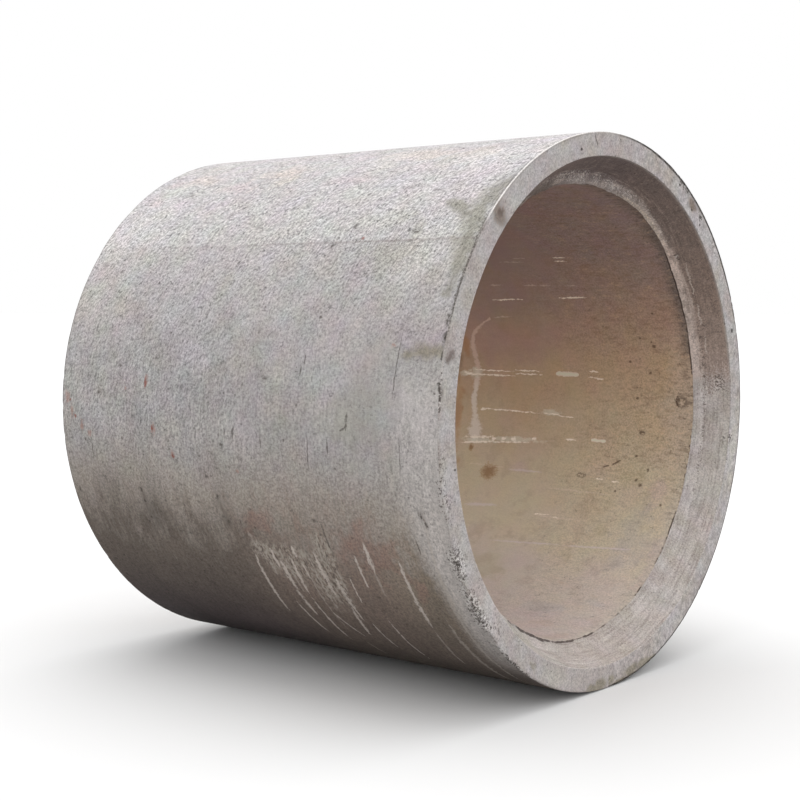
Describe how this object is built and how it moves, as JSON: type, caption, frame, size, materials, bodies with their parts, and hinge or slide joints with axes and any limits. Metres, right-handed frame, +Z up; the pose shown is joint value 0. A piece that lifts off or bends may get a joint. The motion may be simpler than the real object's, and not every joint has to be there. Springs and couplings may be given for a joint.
{
  "type": "concrete sewer pipe",
  "caption": "Large straight concrete sewer pipe lying on its side, with a rebated socket at one end and a matching tongue at the other, inside the wall's own thickness.",
  "frame": {"origin": "on the floor under the middle of the pipe's overall length, as it lies on its side", "axes": "+X along the pipe, out of its socket end; +Z up"},
  "size_m": [2.122, 2.16, 2.16],
  "materials": {
    "concrete": "cast concrete, sandy and pitted outside, trowel-smooth and stained inside"
  },
  "bodies": {
    "root": {"pipe": "concrete"}
  },
  "joints": []
}
